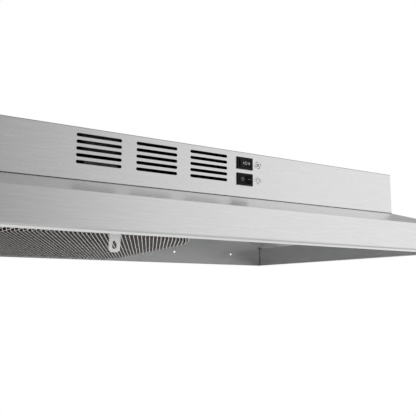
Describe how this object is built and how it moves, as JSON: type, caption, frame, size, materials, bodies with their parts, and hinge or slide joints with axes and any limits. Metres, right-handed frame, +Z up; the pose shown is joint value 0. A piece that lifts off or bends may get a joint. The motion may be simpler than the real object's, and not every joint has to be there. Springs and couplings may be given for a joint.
{
  "type": "under cabinet range hood",
  "caption": "Low stainless under-cabinet range hood with a slotted front panel, rocker switches, a sloped visor and a pull-tab mesh filter over a recirculating fan.",
  "frame": {"origin": "centre of the top face that lies against the cabinet, on the cabinet screw pattern", "axes": "+X to the hood's right seen from the room, +Y to the wall, +Z up; the hood hangs below"},
  "size_m": [0.759, 0.4444, 0.1207],
  "materials": {
    "stainless": "horizontal brushed grain, satin",
    "galvanised": "zinc coated sheet, dull",
    "zinc_hardware": "bright zinc plated",
    "black_gloss": "gloss black moulding",
    "black_plastic": "moulded, satin",
    "white_enamel": "white baked enamel",
    "diffuser": "translucent white, ribbed",
    "clear_glass": "clear bulb glass",
    "porcelain": "unglazed white ceramic",
    "laminations": "stacked electrical steel",
    "copper": "enamelled copper winding",
    "zinc_casting": "die cast, matt",
    "shaft_steel": "ground steel",
    "brass_parts": "turned brass",
    "mesh_aluminium": "expanded mesh, satin",
    "tab_aluminium": "stamped, bright satin",
    "carbon_pad": "fibre pad with charcoal",
    "wire_jacket": "insulation"
  },
  "bodies": {
    "hood": {"side_shell_left": "stainless", "side_shell_right": "stainless", "visor_front": "stainless", "front_panel": "stainless", "back_panel": "stainless", "top_panel": "galvanised", "fan_plate": "galvanised", "fan_shroud": "galvanised", "motor_bracket": "galvanised", "wiring_box": "galvanised", "wiring_cover": "galvanised", "lens_brackets": "galvanised", "filter_rail_front": "galvanised", "filter_rail_rear": "galvanised", "filter_skirt_left": "galvanised", "filter_skirt_right": "galvanised", "shell_rivets": "zinc_hardware", "bracket_screws": "zinc_hardware", "motor_screws": "zinc_hardware", "cover_screws": "zinc_hardware", "fan_switch_body": "black_gloss", "light_switch_body": "black_gloss", "lens_latch": "black_plastic", "wire_bushing": "black_plastic", "lamp_reflector": "white_enamel", "lamp_bulb": "clear_glass", "lamp_socket": "porcelain", "motor_stator": "laminations", "motor_coil": "copper", "bearing_bridge_upper": "zinc_casting", "bearing_bridge_lower": "zinc_casting", "fan_switch_terminals": "brass_parts", "light_switch_terminals": "brass_parts", "wire_supply": "wire_jacket", "wire_motor": "wire_jacket", "wire_lamp": "wire_jacket"},
    "fan": {"motor_rotor": "zinc_casting", "motor_shaft": "shaft_steel", "fan_blade": "black_plastic", "fan_nut": "brass_parts"},
    "fan_rocker": {"fan_rocker": "black_gloss"},
    "light_rocker": {"light_rocker": "black_gloss"},
    "lamp_lens": {"lamp_lens": "diffuser"},
    "filter": {"filter_mesh_lower": "mesh_aluminium", "filter_mesh_upper": "mesh_aluminium", "filter_pad": "carbon_pad", "filter_binding": "mesh_aluminium", "filter_tab": "tab_aluminium", "tab_rivets": "tab_aluminium"}
  },
  "joints": [
    {"name": "fan_spin", "type": "hinge", "parent": "hood", "child": "fan", "pos_m": [-0.068, 0.059, -0.045], "axis": [0, 0, 1], "continuous": true},
    {"name": "fan_rocker_tilt", "type": "hinge", "parent": "hood", "child": "fan_rocker", "pos_m": [0.0672, -0.16155, -0.0136], "axis": [0, 0, 1], "range_deg": [-10, 10]},
    {"name": "light_rocker_tilt", "type": "hinge", "parent": "hood", "child": "light_rocker", "pos_m": [0.0672, -0.16155, -0.0329], "axis": [0, 0, 1], "range_deg": [0, 20]},
    {"name": "lens_swing", "type": "hinge", "parent": "hood", "child": "lamp_lens", "pos_m": [0.205, 0.061, -0.0576], "axis": [1, 0, 0], "range_deg": [0, 75]},
    {"name": "filter_drop", "type": "slide", "parent": "hood", "child": "filter", "axis": [0, 0, -1], "range_m": [0, 0.08]}
  ]
}
